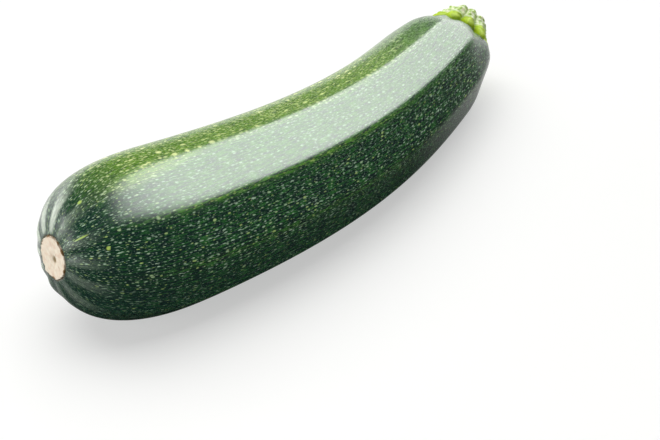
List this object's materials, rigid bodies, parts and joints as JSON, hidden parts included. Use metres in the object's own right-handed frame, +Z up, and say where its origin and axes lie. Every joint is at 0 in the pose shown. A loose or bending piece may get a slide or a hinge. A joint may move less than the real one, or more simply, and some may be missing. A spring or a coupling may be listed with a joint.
{
  "type": "zucchini",
  "caption": "Whole dark green zucchini, gently bent and ridged lengthwise, with a corky blossom scar at one end and a short lobed cut stem at the other, lying on a flat facet.",
  "frame": {"origin": "under the middle of the bounding box, on the surface the zucchini lies on", "axes": "+X along the fruit toward the stem, +Y toward the inside of the bend, +Z up"},
  "size_m": [0.2176, 0.0588, 0.0499],
  "materials": {
    "skin": "waxy dark green skin with fine pale flecks",
    "stem": "light green ribbed stem with a pale cut face"
  },
  "bodies": {
    "root": {"fruit": "skin", "stem": "stem"}
  },
  "joints": []
}
